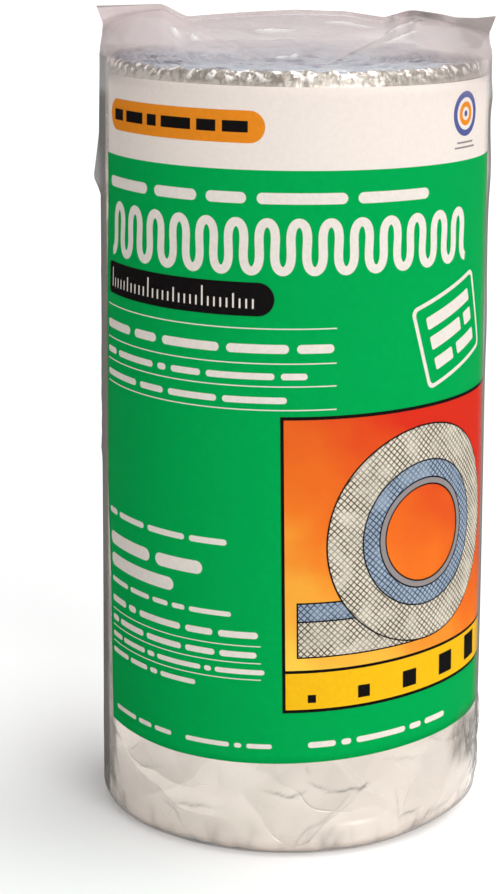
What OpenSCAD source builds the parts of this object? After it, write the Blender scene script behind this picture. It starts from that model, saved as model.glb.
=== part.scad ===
// Roll of foil-faced cotton insulation, standing on its end in a clear film bag,
// with a printed paper label between the foil and the film.
// Millimetres, +Z up. The origin is the middle of the base, and the front faces -Y.

/* [Blanket] */
// Width of the blanket, which is the height of the standing roll
blanket_width = 304.8; // [150:0.1:620]
// Length of the blanket that is wound up
blanket_length = 4572; // [2000:1:9000]
// Outside diameter of the roll, with its foil
roll_d = 150; // [110:1:240]
// Diameter of the open eye in the middle of the roll
eye_d = 18; // [8:1:40]
// Radius of the outer edge at the foot of the roll, which the film pulls round
foot_round = 5; // [2:0.5:10]
// Radius of the cotton's outer edge at the head of the roll
head_round = 4; // [1:0.5:10]
// Width of the groove between two turns, on the ends of the roll
groove_w = 0.8; // [0.3:0.1:1.5]
// Depth of the groove between two turns, on the ends of the roll
groove_depth = 2; // [0.5:0.1:5]

/* [Foil facing] */
// Thickness of the foil facing
foil_t = 0.3; // [0.1:0.05:0.8]

/* [Label] */
// Width of the label, measured round the roll
label_w = 216; // [100:1:300]
// Bare foil below the label
label_foot_gap = 39; // [5:0.5:100]
// Bare foil above the label
label_head_gap = 5.8; // [1:0.1:100]
// Angle from the front to the middle of the label, anticlockwise seen from above
label_turn = 10; // [-90:1:90]
// Thickness of the label
label_t = 0.2; // [0.1:0.05:0.5]
// Gap between the foil and the label, which lies loose on it
label_gap = 0.2; // [0.05:0.05:1]

/* [Film bag] */
// Thickness of the film
film_t = 0.4; // [0.2:0.05:0.8]
// Gap between the film and what it wraps
film_gap = 0.6; // [0.2:0.1:3]
// Height, above the shoulder of the bag, of the fold where its two sides meet over the roll
ridge_rise = 10; // [4:0.5:12]
// How far each end of that fold stops short of the side of the bag
ridge_inset = 10; // [4:0.5:30]
// Height of the sealed seam that stands on the fold, above the shoulder of the bag
seam_rise = 18; // [17:0.5:50]
// How far the ears at the ends of the seam stand out past the side of the bag
ear_overhang = 1.3; // [0.5:0.1:10]

/* [Hidden] */

// Radii of the pieces, from the middle of the roll outwards
eye_r = eye_d / 2;
roll_r = roll_d / 2;
label_r = roll_r + label_gap + label_t;
bag_r = label_r + film_gap + film_t;

// Heights of the roll's two ends and of the bag's shoulder
foot_z = film_t;
head_z = foot_z + blanket_width;
shoulder_z = head_z + film_gap + film_t;

// Radial step from one turn to the next: the blanket's length fills the roll's section
turn_pitch = PI * (roll_r * roll_r - eye_r * eye_r) / blanket_length;
half_turns = floor(2 * (roll_r - eye_r) / turn_pitch) - 1;

// Angle that the label covers, and its height
label_angle = label_w / label_r * 180 / PI;
label_h = blanket_width - label_foot_gap - label_head_gap;

// Radius of the bag's lower edge, concentric with the edge of the roll
bag_foot_round = bag_r - (roll_r - foot_round);
// Half lengths of the fold and of the seam on it, which is two films thick
ridge_half = bag_r - ridge_inset;
seam_half = bag_r + ear_overhang;
seam_t = 2 * film_t;
// Upper edge of the seam from the left ear to the right one:
// shares of half its length and shares of its height
seam_edge_shares = [
    [-1, 0.96], [-0.67, 1], [-0.55, 0.735], [-0.28, 0.825], [0, 0.89], [0.25, 0.86],
    [0.45, 0.735], [0.5, 0.83], [0.59, 0.905], [0.72, 0.83], [0.8, 0.76], [0.91, 0.755], [1, 0.8]
];
// The ears lean out: below this share of the seam's height,
// its ends come in to this share of half its length
ear_root_share = 0.965;
ear_root_height_share = 0.5;

// How far a cut runs past the face that it opens
overrun = 1;
// Sides of the outline that the film is drawn in from
roof_sides = 72;
$fn = 96;

// Half of a turned section: a rectangle from the axis out, with its lower outer corner rounded
module half_section(r, low_z, high_z, low_round) {
    translate([0, low_z + low_round])
        square([r, high_z - low_z - low_round]);
    translate([0, low_z])
        square([r - low_round, low_round]);
    translate([r - low_round, low_z + low_round])
        circle(low_round);
}

// Corner that is cut away to round the upper outer edge of a turned section
module head_corner(r, high_z, high_round) {
    difference() {
        translate([r - high_round, high_z - high_round])
            square(high_round + overrun);
        translate([r - high_round, high_z - high_round])
            circle(high_round);
    }
}

// The facing runs up the side of the roll and curls in under its lower edge
module foil_section() {
    difference() {
        half_section(roll_r, foot_z, head_z, foot_round);
        half_section(roll_r - foil_t, foot_z + foil_t, head_z + overrun, foot_round - foil_t);
        translate([0, foot_z - overrun])
            square([roll_r - foot_round, blanket_width + 2 * overrun]);
    }
}

module cotton_section() {
    difference() {
        half_section(roll_r - foil_t, foot_z, head_z, foot_round - foil_t);
        head_corner(roll_r - foil_t, head_z, head_round);
        foil_section();
        translate([0, foot_z - overrun])
            square([eye_r, blanket_width + 2 * overrun]);
    }
}

// Spiral groove between the turns, drawn as half rings about two centres in turn
module turn_groove(low_z, high_z) {
    centre_shift = turn_pitch / 4;
    for (k = [1 : half_turns])
        translate([k % 2 == 0 ? centre_shift : -centre_shift, 0, low_z])
            rotate(k % 2 == 0 ? 180 : 0)
                rotate_extrude(angle = 180)
                    translate([eye_r + k * turn_pitch / 2 - groove_w / 2, 0])
                        square([groove_w, high_z - low_z]);
}

module cotton_roll() {
    color([0.50, 0.55, 0.62])
        difference() {
            rotate_extrude() cotton_section();
            turn_groove(foot_z - overrun, foot_z + groove_depth);
            turn_groove(head_z - groove_depth, head_z + overrun);
        }
}

module foil_facing() {
    color([0.82, 0.80, 0.77])
        rotate_extrude() foil_section();
}

module label_sheet() {
    color([0.0, 0.55, 0.28])
        rotate(label_turn - 90 - label_angle / 2)
            rotate_extrude(angle = label_angle)
                translate([roll_r + label_gap, foot_z + label_foot_gap])
                    square([label_t, label_h]);
}

// Round body of the bag, or the space in it when it is inset by the film
module bag_body(inset) {
    rotate_extrude()
        half_section(bag_r - inset, inset, shoulder_z - inset, bag_foot_round - inset);
}

// Film drawn in from the shoulder to the fold, or the space under it; it is rooted in the body
module bag_roof(inset) {
    root_t = film_t / 2;
    hull() {
        translate([0, 0, shoulder_z - inset - 2 * root_t])
            cylinder(r = bag_r - inset - root_t, h = root_t, $fn = roof_sides);
        translate([inset - ridge_half, inset / 2 - film_t, shoulder_z - inset])
            cube([2 * (ridge_half - inset), seam_t - inset, ridge_rise]);
    }
}

// Flat sealed seam with an ear at each end
module seam() {
    root = [seam_half * ear_root_share, seam_rise * ear_root_height_share];
    rotate([90, 0, 0])
        linear_extrude(height = seam_t, center = true)
            translate([0, shoulder_z])
                polygon(concat(
                    [[root.x, 0], root],
                    [for (i = [len(seam_edge_shares) - 1 : -1 : 0])
                        [seam_edge_shares[i].x * seam_half, seam_edge_shares[i].y * seam_rise]],
                    [[-root.x, root.y], [-root.x, 0]]
                ));
}

module film_bag() {
    color([0.86, 0.85, 0.85, 0.35])
        difference() {
            union() {
                bag_body(0);
                bag_roof(0);
                seam();
            }
            bag_body(film_t);
            bag_roof(film_t);
        }
}

cotton_roll();
foil_facing();
label_sheet();
film_bag();
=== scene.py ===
import math

import bmesh
import bpy
import numpy as np
from mathutils import Matrix, Vector


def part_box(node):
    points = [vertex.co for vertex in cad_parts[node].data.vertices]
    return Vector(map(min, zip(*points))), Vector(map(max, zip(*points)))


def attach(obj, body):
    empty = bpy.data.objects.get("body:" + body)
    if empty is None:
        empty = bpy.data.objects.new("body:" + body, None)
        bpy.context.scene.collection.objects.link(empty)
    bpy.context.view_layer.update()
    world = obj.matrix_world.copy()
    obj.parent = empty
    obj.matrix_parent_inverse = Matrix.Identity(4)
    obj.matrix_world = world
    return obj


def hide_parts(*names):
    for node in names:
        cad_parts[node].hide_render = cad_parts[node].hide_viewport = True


# Looks of a roll of foil-faced cotton insulation that stands on its end in a clear film bag.
# Lengths are in millimetres and angles in radians, unless a comment says otherwise.
# Angles round the roll run from the front, -Y, towards +X.

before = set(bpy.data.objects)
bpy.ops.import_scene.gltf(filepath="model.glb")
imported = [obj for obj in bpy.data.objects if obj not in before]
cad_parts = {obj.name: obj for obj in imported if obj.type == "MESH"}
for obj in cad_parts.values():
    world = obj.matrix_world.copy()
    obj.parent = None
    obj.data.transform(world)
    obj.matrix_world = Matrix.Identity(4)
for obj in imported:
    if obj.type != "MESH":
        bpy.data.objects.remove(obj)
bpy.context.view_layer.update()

MM = 0.001
TURN = 2 * math.pi
UPRIGHT = math.pi / 2
ALL_ROUND = (-math.pi, math.pi)


# Sizes of the CAD pieces

def corners(node):
    return [np.array(corner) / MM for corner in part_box(node)]


foil_low, foil_high = corners("foil_facing")
label_low, label_high = corners("label_sheet")
cotton_high = corners("cotton_roll")[1]
bag_high = corners("film_bag")[1]

FOOT_Z = foil_low[2]
HEAD_Z = foil_high[2]
ROLL_R = foil_high[1]
COTTON_R = cotton_high[1]
LABEL_R = -label_low[1]
LABEL_LEFT = math.asin(label_low[0] / LABEL_R)
LABEL_RIGHT = math.acos(-label_high[1] / LABEL_R)
LABEL_W = LABEL_R * (LABEL_RIGHT - LABEL_LEFT)
LABEL_H = label_high[2] - label_low[2]
LABEL_Z = label_low[2]
BAG_R = bag_high[1]
SEAM_HALF = bag_high[0]
SEAM_Z = bag_high[2]

# Sizes that the boxes don't give, as the CAD source has them
EYE_R = 9.0
FOOT_ROUND = 5.0
HEAD_ROUND = 4.0
BLANKET_LENGTH = 4572.0
SHOULDER_RISE = 1.0
TURN_PITCH = math.pi * (ROLL_R ** 2 - EYE_R ** 2) / BLANKET_LENGTH
SHOULDER_Z = HEAD_Z + SHOULDER_RISE
BAG_ROUND = BAG_R - (ROLL_R - FOOT_ROUND)


# Mesh helpers

def smoothstep(low, high, x):
    """A smooth climb from 0 at the low value to 1 at the high one."""
    share = np.clip((x - low) / (high - low), 0, 1)
    return share * share * (3 - 2 * share)


def bell(distance, reach):
    """A soft bump, 1 high."""
    return np.exp(-(distance / reach) ** 2)


def fading(distance, reach):
    """A sharp bump, 1 high."""
    return np.exp(-np.abs(distance) / reach)


def wrapped(angle):
    """The same angle, within half a turn of the front."""
    return (angle + math.pi) % TURN - math.pi


def around(angle, radius, z):
    """Points at these angles, with x, y and z last."""
    angle, radius, z = np.broadcast_arrays(angle, radius, z)
    return np.stack([radius * np.sin(angle), -radius * np.cos(angle), z], axis=-1)


def stretches(ends, counts):
    """Values from end to end, with so many even steps between each two."""
    spans = zip(ends, ends[1:], counts)
    steps = [np.linspace(low, high, count, endpoint=False) for low, high, count in spans]
    return np.concatenate(steps + [ends[-1:]])


def grid_faces(rows, columns, closed):
    """Faces of a grid of points, which may close on itself."""
    row = np.arange(rows - 1)[:, None] * columns
    column = np.arange(columns if closed else columns - 1)[None, :]
    beside = (column + 1) % columns
    quad = [row + column, row + beside, row + columns + beside, row + columns + column]
    return np.stack(quad, axis=-1).reshape(-1, 4)


def mesh_object(name, points, faces, materials, slots=None, uv=None, fields=None):
    """A smooth mesh object, with slots for its faces, and uv and fields for its points."""
    mesh = bpy.data.meshes.new(name)
    metres = np.asarray(points).reshape(-1, 3) * MM
    mesh.from_pydata(metres.tolist(), [], np.asarray(faces).tolist())
    for material in materials:
        mesh.materials.append(material)
    mesh.polygons.foreach_set("use_smooth", np.ones(len(mesh.polygons), bool))
    if slots is not None:
        mesh.polygons.foreach_set("material_index", np.asarray(slots, np.int32))
    if uv is not None:
        corner_points = np.empty(len(mesh.loops), np.int32)
        mesh.loops.foreach_get("vertex_index", corner_points)
        corner_uv = np.asarray(uv).reshape(-1, 2)[corner_points]
        mesh.uv_layers.new(name="print").data.foreach_set("uv", corner_uv.astype(np.float32).ravel())
    for field, values in (fields or {}).items():
        attribute = mesh.attributes.new(field, "FLOAT", "POINT")
        attribute.data.foreach_set("value", np.asarray(values).ravel().astype(np.float32))
    mesh.update()
    piece = bpy.data.objects.new(name, mesh)
    bpy.context.scene.collection.objects.link(piece)
    return piece


def weld(piece, metres):
    """Joins points this close together, and drops faces without an area."""
    form = bmesh.new()
    form.from_mesh(piece.data)
    bmesh.ops.remove_doubles(form, verts=form.verts, dist=metres)
    bmesh.ops.dissolve_degenerate(form, edges=form.edges, dist=metres)
    form.to_mesh(piece.data)
    form.free()


# Relief

# The soft roll swells on its right, more so low down, and on its left; right of the front, its foot tucks in
RIGHT_SWELL = 0.5
LOW_SWELL = 1.7
SWELL_HEIGHTS = (30, 290)
LEFT_SWELL = 0.5
TUCK = 5.0
TUCK_HEIGHT = 18


def hump(angle, at, reach):
    return bell(wrapped(angle - at), reach)


def roll_form(angle, z):
    """How far the soft roll stands out from a true cylinder."""
    lowness = 1 - smoothstep(*SWELL_HEIGHTS, z)
    right = (RIGHT_SWELL + LOW_SWELL * lowness) * hump(angle, at=1.65, reach=0.6)
    left = LEFT_SWELL * hump(angle, at=-1.6, reach=0.4)
    tuck = TUCK * hump(angle, at=1.0, reach=0.5) * np.clip(1 - z / TUCK_HEIGHT, 0, 1) ** 2
    return right + left - tuck


def swell(angle, z, seed, waves, crests, wavelength):
    """Smooth random relief, about -1 to 1, that closes round the roll."""
    rng = np.random.default_rng(seed)
    total = 0.0
    for _ in range(waves):
        around_count = rng.integers(1, crests + 1)
        along_rate = rng.uniform(-1, 1) * TURN / wavelength
        total = total + np.cos(around_count * angle + along_rate * z + rng.uniform(0, TURN))
    return total / math.sqrt(waves)


def crease(x, y, length, width, tilt):
    """A sharp crease, 1 high in its middle, where x and y are 0."""
    along = x * math.cos(tilt) + y * math.sin(tilt)
    across = y * math.cos(tilt) - x * math.sin(tilt)
    return np.clip(1 - (along / length) ** 2, 0, 1) * fading(across, width)


def draw_creases(rng, beside, z, count, heights, lengths, widths, depths, tilt, spread, places=ALL_ROUND):
    """Random creases, where beside gives the distance from a place. Each pair is a range, and with no
    spread of their tilt they lie every way."""
    total = 0.0
    for _ in range(count):
        x = beside(rng.uniform(*places))
        y = z - rng.uniform(*heights)
        length = rng.uniform(*lengths)
        width = rng.uniform(*widths)
        slope = rng.normal(tilt, spread) if spread else rng.uniform(0, math.pi)
        shape = crease(x, y, length, width, slope)
        total = total + rng.uniform(*depths) * shape
    return total


def side_creases(angle, z, radius, seed, *settings):
    """Random creases round the roll, where places are angles."""
    rng = np.random.default_rng(seed)
    return draw_creases(rng, lambda place: wrapped(angle - place) * radius, z, *settings)


# Shader nodes

# Where most values of a noise lie
NOISE_SPAN = (0.3, 0.7)
# Size of the noise that makes straight folds sway, and how softly their sides meet
SWAY_SIZE = 40
FOLD_SOFTNESS = 0.8


def opaque(colour):
    """A colour with its alpha; a node's output stays as it is."""
    return colour if isinstance(colour, bpy.types.NodeSocket) else (*colour, 1.0)


class Tree:
    """A node tree. An input is a value or another node's output."""

    def __init__(self, name, holder=bpy.data.materials):
        self.owner = holder.new(name)
        self.owner.use_nodes = True
        self.tree = self.owner.node_tree
        self.tree.nodes.clear()

    def node(self, kind, inputs=None, **settings):
        made = self.tree.nodes.new(kind)
        for key, value in settings.items():
            setattr(made, key, value)
        for key, value in (inputs or {}).items():
            if isinstance(value, bpy.types.NodeSocket):
                self.tree.links.new(value, made.inputs[key])
            else:
                made.inputs[key].default_value = value
        return made

    def math(self, operation, first, second, clamp=False):
        inputs = {0: first, 1: second}
        return self.node("ShaderNodeMath", inputs, operation=operation, use_clamp=clamp).outputs[0]

    def add(self, first, second):
        return self.math("ADD", first, second)

    def times(self, first, second):
        return self.math("MULTIPLY", first, second)

    def larger(self, first, second):
        return self.math("MAXIMUM", first, second)

    def ramp(self, value, span, to=(0.0, 1.0)):
        """A value's place in a span, brought to another span."""
        inputs = {"Value": value, "From Min": span[0], "From Max": span[1], "To Min": to[0], "To Max": to[1]}
        return self.node("ShaderNodeMapRange", inputs, clamp=True).outputs[0]

    def mix(self, share, first, second):
        inputs = {0: share, 6: opaque(first), 7: opaque(second)}
        return self.node("ShaderNodeMix", inputs, data_type="RGBA").outputs[2]

    def position(self):
        return self.node("ShaderNodeTexCoord").outputs["Object"]

    def climb(self, low, high, to=(0.0, 1.0)):
        height = self.node("ShaderNodeSeparateXYZ", {"Vector": self.position()}).outputs[2]
        return self.ramp(height, (low * MM, high * MM), to)

    def on_sheet(self):
        """Place on the label, as shares of its width and height."""
        uv = self.node("ShaderNodeUVMap", uv_map="print").outputs[0]
        return self.node("ShaderNodeSeparateXYZ", {"Vector": uv}).outputs[:2]

    def field(self, name):
        return self.node("ShaderNodeAttribute", attribute_name=name).outputs["Fac"]

    def noise(self, size, detail=2.0, roughness=0.5, stretch=(1, 1, 1), distortion=0.0):
        """Noise from 0 to 1 with lumps of about this size."""
        scale = [1 / (size * MM * factor) for factor in stretch]
        place = self.node("ShaderNodeMapping", {"Vector": self.position(), "Scale": scale}).outputs[0]
        inputs = {"Scale": 1.0, "Detail": detail, "Roughness": roughness, "Distortion": distortion}
        return self.node("ShaderNodeTexNoise", {"Vector": place, **inputs}).outputs["Fac"]

    def mottle(self, size, detail=2.0, roughness=0.5, to=(0.0, 1.0)):
        """Noise spread from one value to another."""
        return self.ramp(self.noise(size, detail, roughness), NOISE_SPAN, to)

    def folds(self, spacing, way):
        """Straight folds across a direction: their height, with sides at 45 degrees, the distance to
        the nearest one, and 1 on their rising sides."""
        dot = self.node("ShaderNodeVectorMath", {0: self.position(), 1: way}, operation="DOT_PRODUCT")
        along = self.math("DIVIDE", dot.outputs["Value"], MM)
        place = self.add(along, self.times(self.noise(SWAY_SIZE), spacing))
        height = self.math("PINGPONG", place, spacing)
        distance = self.math("MINIMUM", height, self.math("SUBTRACT", spacing, height))
        ahead = self.math("PINGPONG", self.add(place, spacing / 2), spacing)
        rising = self.ramp(ahead, (spacing / 2 - FOLD_SOFTNESS, spacing / 2 + FOLD_SOFTNESS))
        return height, distance, rising

    def bump(self, height, distance):
        inputs = {"Height": height, "Distance": distance * MM, "Strength": 1.0}
        return self.node("ShaderNodeBump", inputs).outputs[0]

    def principled(self, **inputs):
        names = {key.replace("_", " ").title().replace("Ior", "IOR"): value for key, value in inputs.items()}
        return self.node("ShaderNodeBsdfPrincipled", names).outputs[0]

    def surface(self, kind, colour, **inputs):
        return self.node("ShaderNodeBsdf" + kind, {"Color": opaque(colour), **inputs}).outputs[0]

    def blend(self, share, first, second):
        return self.node("ShaderNodeMixShader", {0: share, 1: first, 2: second}).outputs[0]

    def background_rays(self):
        """1 for rays that show the background, straight or mirrored."""
        path = self.node("ShaderNodeLightPath").outputs
        mirrored = self.larger(path["Is Glossy Ray"], path["Is Transmission Ray"])
        return self.larger(path["Is Camera Ray"], mirrored)

    def finish(self, surface, output="ShaderNodeOutputMaterial"):
        self.node(output, {"Surface": surface})
        return self.owner


# Cotton

# Section of one turn at the roll's ends: shares of its thickness, and heights. The last steps are foil.
TURN_SHARES = (0.0, 0.08, 0.20, 0.38, 0.58, 0.76, 0.87, 0.91, 0.975)
TURN_HEIGHTS = (-1.6, -0.7, -0.2, 0.0, 0.05, -0.15, -0.6, -0.4, -0.4)
TURN_SPREAD = 0.35
FOIL_STEPS = 2
COTTON_COLUMNS = 240
WALL_ROWS = 12
# The blanket stays inside the creased foil round it, and below the foil's rim
COTTON_INSET = 2.0
COTTON_DROP = 0.6
# Lumps in the ends: size and depth. Each size is a sum of waves at about its own rate.
LUMPS = ((17.0, 0.7), (7.0, 0.16), (2.8, 0.05))
LUMP_WAVES = 10
LUMP_RATES = (0.6, 1.4)


def cotton_material():
    """Denim fibre: grey-blue lint with pale and dark flecks."""
    deep, light = (0.33, 0.385, 0.46), (0.50, 0.545, 0.61)
    pale, dark = (0.66, 0.68, 0.715), (0.09, 0.12, 0.21)
    tree = Tree("cotton")
    lint = tree.mix(tree.mottle(9, 3, 0.6), deep, light)
    strands = tree.noise(2.2, detail=3, roughness=0.7, stretch=(3, 3, 1))
    lint = tree.mix(tree.ramp(strands, (0.58, 0.72)), lint, pale)
    clumps = tree.noise(11, distortion=0.6)
    lint = tree.mix(tree.ramp(clumps, (0.50, 0.68)), lint, dark)
    fuzz = tree.add(tree.noise(0.7, 4, 0.7), tree.noise(2.5, 3, 0.6))
    return tree.finish(tree.principled(
        base_color=lint, roughness=0.95, normal=tree.bump(fuzz, 0.25),
        sheen_weight=0.4, sheen_roughness=0.5, specular_ior_level=0.15))


def foil_edge_material():
    """Cut edge of the foil on each turn, dull and ragged."""
    worn, bright = (0.36, 0.40, 0.46), (0.60, 0.62, 0.66)
    tree = Tree("foil_edge")
    wear = tree.ramp(tree.noise(1.2, 3, 0.6), (0.35, 0.65))
    return tree.finish(tree.principled(
        base_color=tree.mix(wear, worn, bright), metallic=0.4, roughness=0.5,
        normal=tree.bump(tree.noise(0.8, 3), 0.25)))


def cotton_lumps(rng, x, y):
    """Soft lumps over an end, from waves that run every way."""
    total = 0.0
    for size, depth in LUMPS:
        lumps = 0.0
        for _ in range(LUMP_WAVES):
            way = rng.uniform(0, TURN)
            rate = TURN / size * rng.uniform(*LUMP_RATES)
            run = x * math.cos(way) + y * math.sin(way)
            lumps = lumps + np.cos(rate * run + rng.uniform(0, TURN))
        total = total + depth * lumps / math.sqrt(LUMP_WAVES)
    return total


def cotton_end(base_z, up, proud, seed):
    """One end of the wound blanket: its points, its faces along the turns, and 1 for faces of foil edge."""
    turns = math.ceil((COTTON_R - EYE_R) / TURN_PITCH) + 1
    outer = COTTON_R - COTTON_INSET
    winding = np.concatenate([turn - 1 + np.array(TURN_SHARES) for turn in range(turns + 1)])[:, None]
    angle = np.linspace(0, TURN, COTTON_COLUMNS + 1)[None, :]
    radius = np.clip(EYE_R + TURN_PITCH * (winding + angle / TURN), EYE_R, outer)
    turn_at = (radius - EYE_R) / TURN_PITCH - angle / TURN
    height = np.interp(turn_at % 1.0, TURN_SHARES + (1.0,), TURN_HEIGHTS + TURN_HEIGHTS[:1])
    rng = np.random.default_rng(seed)
    knots = np.arange(turns + 3)
    height += np.interp(turn_at + angle / TURN, knots, rng.normal(0, TURN_SPREAD, len(knots)))
    swollen = radius * (1 + roll_form(angle, base_z) / outer)
    x, y = swollen * np.sin(angle), -swollen * np.cos(angle)
    height += cotton_lumps(rng, x, y)
    past_flat = np.clip(radius - (outer - HEAD_ROUND), 0, HEAD_ROUND)
    height -= HEAD_ROUND - np.sqrt(HEAD_ROUND ** 2 - past_flat ** 2)
    points = np.stack([x, y, base_z + up * np.minimum(height, proud)], axis=-1)
    faces = grid_faces(len(winding), COTTON_COLUMNS + 1, False)
    step = np.arange(len(winding) - 1) % len(TURN_SHARES)
    slots = np.repeat(step >= len(TURN_SHARES) - FOIL_STEPS, COTTON_COLUMNS).astype(int)
    return points, faces[:, ::-1] if up > 0 else faces, slots


def make_cotton(cotton, foil_edge):
    """The wound blanket: its two ends, the wall of its eye and its outer wall."""
    head, head_faces, head_slots = cotton_end(HEAD_Z - COTTON_DROP, up=1, proud=0.9, seed=41)
    foot, foot_faces, foot_slots = cotton_end(FOOT_Z, up=-1, proud=0.0, seed=42)
    points = [head.reshape(-1, 3), foot.reshape(-1, 3)]
    faces = [head_faces, foot_faces + len(points[0])]
    slots = [head_slots, foot_slots]
    shares = np.linspace(0, 1, WALL_ROWS)[:, None, None]
    for row, outside in ((0, False), (-1, True)):
        start = sum(len(block) for block in points)
        wall = foot[row] * (1 - shares) + head[row] * shares
        wall_faces = grid_faces(WALL_ROWS, COTTON_COLUMNS + 1, False) + start
        points.append(wall.reshape(-1, 3))
        faces.append(wall_faces if outside else wall_faces[:, ::-1])
        slots.append(np.zeros(len(wall_faces), int))
    points, faces, slots = (np.concatenate(blocks) for blocks in (points, faces, slots))
    piece = mesh_object("cotton", points, faces, [cotton, foil_edge], slots)
    weld(piece, metres=1e-6)
    return piece


# Foil

# Straight crinkles: distance apart, direction across them, and steepness
CRINKLES = (
    (34, (0.50, 0.30, 0.81), 0.075), (23, (-0.62, 0.20, 0.76), 0.065),
    (29, (0.35, -0.25, 0.90), 0.065), (19, (0.20, 0.90, -0.40), 0.050))
# Folds below the label, with painted shade along them: angle, height, half length, slope and depth
FOIL_FOLDS = (
    (-0.04, 25.4, 9.0, -0.25, 1.3), (0.06, 25.8, 5.0, 0.40, 1.1), (0.16, 28.6, 6.0, -0.40, 1.2),
    (0.31, 26.2, 11.0, 0.05, 1.5), (0.41, 26.8, 4.0, 0.6, 1.2), (-0.52, 16.8, 13.0, 0.10, 1.2),
    (0.71, 12.0, 7.0, 0.12, 1.2), (0.10, 35.7, 2.5, -1.3, 0.9), (-0.37, 20.0, 16.0, 1.57, 0.25),
    (0.62, 17.0, 10.0, -1.4, 0.8), (0.70, 35.0, 18.0, -0.15, 0.8), (-0.85, 27.0, 12.0, 0.2, 0.8))
FOLD_WIDTH = 0.7
FOLD_TONE = 0.55
FOLD_DENT = 0.45
# Creases that lie level and that stand upright, and pleats at the rim and the foot: a seed, then what
# draw_creases takes from its count on
FOIL_CREASES = (
    (12, 150, (0, HEAD_Z), (8, 34), (1.2, 2.6), (0.25, 0.9), 0, 0.35),
    (13, 60, (0, HEAD_Z), (5, 22), (1.0, 2.0), (0.2, 0.6), UPRIGHT, 0.5),
    (14, 240, (HEAD_Z - 5, HEAD_Z + 1), (2, 6), (0.6, 1.3), (-0.3, 0.9), UPRIGHT, 0.35))
FOOT_PLEATS = (15, 70, (FOOT_Z, FOOT_Z + 7), (4, 10), (1.0, 2.2), (0.4, 1.1), UPRIGHT, 0.35)
DENT = 0.30
DEEPEST_DENT = 2.0
# The blanket's loose end: its angle, and the step that it makes, which dies away behind it
BLANKET_END = 2.5
END_STEP = 1.5
END_REACH = 22
END_EDGE = 0.3
# The rim leans in over its last stretch, rolls in at its edge, and is ragged there
LEAN_HEIGHT = 7
LEAN = 1.6
ROLL_IN = 1.6
RAGGED_HEIGHT = 6
RAGGED_RANGE = (-1.6, 0.3)
# Mesh: finer on the front and at the blanket's end, and at the foot and the rim
FRONT_HALF = 1.45
FRONT_COLUMNS = 300
BACK_COLUMNS = 190
END_HALF = 2.5
END_COLUMNS = 12
CURL_ROWS = 7
FOIL_LEVELS = (FOOT_Z + FOOT_ROUND, 42, HEAD_Z - 14, HEAD_Z - 3, HEAD_Z)
FOIL_ROWS = (50, 106, 13, 8)
# Inner face: rows of the outer one, counted down from the rim, then heights, and how far in it lies
INNER_ROWS = ((1, 0.12), (8, 0.3), (15, 0.6), (22, 0.9))
INNER_RINGS = ((HEAD_Z - 20, 2.6), (FOOT_Z + FOOT_ROUND + 2, 2.6), (FOOT_Z + 0.3, FOOT_ROUND))


def crinkled(tree, colour):
    """The colour with straight crinkles: painted shade in patches on their rising sides, and darker painted
    shade along their lines in places; and their relief.
    """
    shadow, worn = (0.45, 0.41, 0.375), (0.25, 0.23, 0.215)
    relief = tree.times(tree.noise(9), 0.12)
    nearest = 1.0
    tone = 0.0
    for spacing, way, steepness in CRINKLES:
        height, distance, rising = tree.folds(spacing, way)
        relief = tree.add(relief, tree.times(height, steepness))
        nearest = tree.math("MINIMUM", nearest, distance)
        tone = tree.add(tone, tree.math("DIVIDE", rising, len(CRINKLES)))
    # Painted shade on the rising side of each crinkle, in patches
    patches = tree.ramp(tree.noise(35), (0.35, 0.6), to=(0.10, 0.40))
    colour = tree.mix(tree.times(tone, patches), colour, shadow)
    # Darker painted shade along the crinkles' lines, in places, where they also dip a little
    line_shade = tree.ramp(nearest, (0.0, 0.6), to=(1.0, 0.0))
    line_shade = tree.times(line_shade, tree.ramp(tree.noise(20), (0.50, 0.66)))
    colour = tree.mix(tree.times(line_shade, 0.35), colour, worn)
    return colour, tree.math("SUBTRACT", relief, tree.times(line_shade, 0.12))


def crushed(tree, colour, rim):
    """The colour with mottled painted shade over the crushed foil along the rim, and painted glints on its
    crest.
    """
    dark, dull, bright = (0.17, 0.15, 0.125), (0.44, 0.41, 0.365), (0.95, 0.92, 0.89)
    # Mottled painted shade over the crushed rim
    rim_shade = tree.noise(2.4, 3, 0.6, stretch=(1, 1, 1.4), distortion=0.5)
    rim_shade = tree.mix(tree.ramp(rim_shade, (0.42, 0.62)), dark, dull)
    colour = tree.mix(tree.times(rim, 0.85), colour, rim_shade)
    # Painted glints along the rim's crest
    crest = tree.climb(HEAD_Z - 4.5, HEAD_Z - 2)
    rim_glints = tree.times(crest, tree.ramp(tree.noise(4), (0.52, 0.59)))
    return tree.mix(rim_glints, colour, bright)


def foil_material():
    """Aluminium foil, dulled by handling and crinkled, with painted shade in its crinkles and folds, and
    painted shade and glints on its crushed rim.
    """
    dull, bright, crease_shade = (0.76, 0.685, 0.625), (0.84, 0.765, 0.70), (0.22, 0.21, 0.20)
    tree = Tree("foil")
    colour, relief = crinkled(tree, tree.mix(tree.mottle(30, 3, 0.6), dull, bright))
    rim = tree.climb(HEAD_Z - 9, HEAD_Z - 4)
    colour = crushed(tree, colour, rim)
    # Painted shade in the folds, along the blanket's end and in the foot's pleats, from the fold field
    colour = tree.mix(tree.times(tree.field("fold"), 0.75), colour, crease_shade)
    pleats = tree.noise(2.6, 3, 0.6, stretch=(1, 1, 2), distortion=0.8)
    pleats = tree.times(pleats, tree.times(rim, 0.5))
    rough = tree.add(tree.mottle(30, 1, to=(0.22, 0.32)), tree.times(rim, 0.22))
    return tree.finish(tree.principled(
        base_color=colour, metallic=0.9, roughness=rough,
        normal=tree.bump(tree.add(relief, pleats), 1.0)))


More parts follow.
